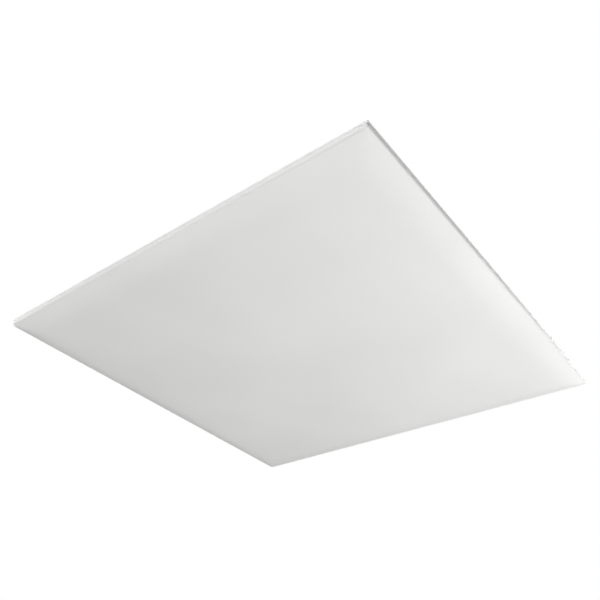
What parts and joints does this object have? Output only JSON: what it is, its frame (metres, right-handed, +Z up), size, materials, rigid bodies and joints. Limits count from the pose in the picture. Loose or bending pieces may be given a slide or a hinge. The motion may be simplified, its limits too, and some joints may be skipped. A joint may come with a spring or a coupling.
{
  "type": "recessed troffer light",
  "caption": "Square slim recessed ceiling light: softly crowned opal face on a drop-down door, shallow back housing with lamps, gear box and ceiling clamps.",
  "frame": {"origin": "middle of the opal's lowest face, in plan the middle of the square", "axes": "+Z up towards the ceiling, +X towards the catch side of the door, -X towards its hinge side, the opal faces -Z into the room"},
  "size_m": [0.595, 0.595, 0.1024],
  "materials": {
    "blank_plug": "moulded, matte",
    "board_connectors": "moulded, matte",
    "board_jumpers": "moulded, matte",
    "cable_bushing": "moulded, matte",
    "cable_saddle": "moulded, matte",
    "catch_keepers": "zinc plated, satin",
    "catch_magnets": "moulded, matte",
    "ceiling_gasket": "closed-cell foam",
    "clamp_arm_1": "zinc plated, satin",
    "clamp_arm_2": "zinc plated, satin",
    "clamp_arm_3": "zinc plated, satin",
    "clamp_arm_4": "zinc plated, satin",
    "clamp_bushes": "moulded, matte",
    "clamp_shaft_1": "zinc plated, satin",
    "clamp_shaft_2": "zinc plated, satin",
    "clamp_shaft_3": "zinc plated, satin",
    "clamp_shaft_4": "zinc plated, satin",
    "corner_keys": "mill finish",
    "corner_screws": "zinc plated, satin",
    "cover_hinge_fixed_leaf": "zinc plated, satin",
    "cover_hinge_moving_leaf": "zinc plated, satin",
    "cover_hinge_pin": "zinc plated, satin",
    "cover_screw": "zinc plated, satin",
    "door_hinge_leaf_1": "zinc plated, satin",
    "door_hinge_leaf_2": "zinc plated, satin",
    "door_hinge_pins": "zinc plated, satin",
    "door_rail_catch_side": "white powder coat",
    "door_rail_front": "white powder coat",
    "door_rail_hinge_side": "white powder coat",
    "door_rail_rear": "white powder coat",
    "driver_base": "zinc plated, satin",
    "driver_board": "moulded, matte",
    "driver_cover": "moulded, matte",
    "driver_parts": "moulded, matte",
    "driver_ports": "moulded, matte",
    "driver_screws": "zinc plated, satin",
    "earth_nut": "bright turned",
    "earth_stud": "bright turned",
    "film_rivets": "moulded, matte",
    "gear_box": "white powder coat",
    "gear_box_cover": "white powder coat",
    "hanger_tabs": "zinc plated, satin",
    "housing_hinge_arm_1": "zinc plated, satin",
    "housing_hinge_arm_2": "zinc plated, satin",
    "housing_pan": "white powder coat",
    "led_board_1": "moulded, matte",
    "led_board_2": "moulded, matte",
    "led_board_3": "moulded, matte",
    "led_board_4": "moulded, matte",
    "led_chips": "moulded, matte",
    "led_leads": "moulded, matte",
    "led_optics": "clear moulded acrylic",
    "mains_leads": "moulded, matte",
    "opal_lens": "satin opal, moulded",
    "reflector_film": "moulded, matte",
    "saddle_screws": "zinc plated, satin",
    "terminal_block": "moulded, matte",
    "terminal_lever_1": "moulded, matte",
    "terminal_lever_2": "moulded, matte",
    "terminal_lever_3": "moulded, matte"
  },
  "bodies": {
    "housing": {"blank_plug": "blank_plug", "board_connectors": "board_connectors", "board_jumpers": "board_jumpers", "cable_bushing": "cable_bushing", "cable_saddle": "cable_saddle", "catch_magnets": "catch_magnets", "ceiling_gasket": "ceiling_gasket", "clamp_bushes": "clamp_bushes", "cover_hinge_fixed_leaf": "cover_hinge_fixed_leaf", "cover_hinge_pin": "cover_hinge_pin", "driver_base": "driver_base", "driver_board": "driver_board", "driver_cover": "driver_cover", "driver_parts": "driver_parts", "driver_ports": "driver_ports", "driver_screws": "driver_screws", "earth_nut": "earth_nut", "earth_stud": "earth_stud", "film_rivets": "film_rivets", "gear_box": "gear_box", "hanger_tabs": "hanger_tabs", "housing_hinge_arm_1": "housing_hinge_arm_1", "housing_hinge_arm_2": "housing_hinge_arm_2", "housing_pan": "housing_pan", "led_board_1": "led_board_1", "led_board_2": "led_board_2", "led_board_3": "led_board_3", "led_board_4": "led_board_4", "led_chips": "led_chips", "led_leads": "led_leads", "led_optics": "led_optics", "mains_leads": "mains_leads", "reflector_film": "reflector_film", "saddle_screws": "saddle_screws", "terminal_block": "terminal_block"},
    "door": {"opal_lens": "opal_lens", "door_rail_catch_side": "door_rail_catch_side", "door_rail_rear": "door_rail_rear", "door_rail_hinge_side": "door_rail_hinge_side", "door_rail_front": "door_rail_front", "corner_keys": "corner_keys", "corner_screws": "corner_screws", "door_hinge_leaf_1": "door_hinge_leaf_1", "door_hinge_leaf_2": "door_hinge_leaf_2", "door_hinge_pins": "door_hinge_pins", "catch_keepers": "catch_keepers"},
    "clamp_1": {"clamp_shaft_1": "clamp_shaft_1", "clamp_arm_1": "clamp_arm_1"},
    "clamp_2": {"clamp_shaft_2": "clamp_shaft_2", "clamp_arm_2": "clamp_arm_2"},
    "clamp_3": {"clamp_shaft_3": "clamp_shaft_3", "clamp_arm_3": "clamp_arm_3"},
    "clamp_4": {"clamp_shaft_4": "clamp_shaft_4", "clamp_arm_4": "clamp_arm_4"},
    "cover": {"gear_box_cover": "gear_box_cover", "cover_screw": "cover_screw", "cover_hinge_moving_leaf": "cover_hinge_moving_leaf"},
    "lever_1": {"terminal_lever_1": "terminal_lever_1"},
    "lever_2": {"terminal_lever_2": "terminal_lever_2"},
    "lever_3": {"terminal_lever_3": "terminal_lever_3"}
  },
  "joints": [
    {"name": "door_swing", "type": "hinge", "parent": "housing", "child": "door", "pos_m": [-0.2935, 0, 0.018], "axis": [0, 1, 0], "range_deg": [0, 90]},
    {"name": "clamp_turn_1", "type": "hinge", "parent": "housing", "child": "clamp_1", "pos_m": [0.277, 0.11, 0.03], "axis": [0, 0, 1], "range_deg": [0, 90]},
    {"name": "clamp_turn_2", "type": "hinge", "parent": "housing", "child": "clamp_2", "pos_m": [-0.277, 0.11, 0.03], "axis": [0, 0, -1], "range_deg": [0, 90]},
    {"name": "clamp_turn_3", "type": "hinge", "parent": "housing", "child": "clamp_3", "pos_m": [-0.277, -0.11, 0.03], "axis": [0, 0, 1], "range_deg": [0, 90]},
    {"name": "clamp_turn_4", "type": "hinge", "parent": "housing", "child": "clamp_4", "pos_m": [0.277, -0.11, 0.03], "axis": [0, 0, -1], "range_deg": [0, 90]},
    {"name": "cover_swing", "type": "hinge", "parent": "housing", "child": "cover", "pos_m": [0, 0.059, 0.0998], "axis": [-1, 0, 0], "range_deg": [0, 105]},
    {"name": "lever_lift_1", "type": "hinge", "parent": "housing", "child": "lever_1", "pos_m": [0.045, -0.0318, 0.0761], "axis": [1, 0, 0], "range_deg": [0, 80]},
    {"name": "lever_lift_2", "type": "hinge", "parent": "housing", "child": "lever_2", "pos_m": [0.054, -0.0318, 0.0761], "axis": [1, 0, 0], "range_deg": [0, 80]},
    {"name": "lever_lift_3", "type": "hinge", "parent": "housing", "child": "lever_3", "pos_m": [0.063, -0.0318, 0.0761], "axis": [1, 0, 0], "range_deg": [0, 80]}
  ]
}
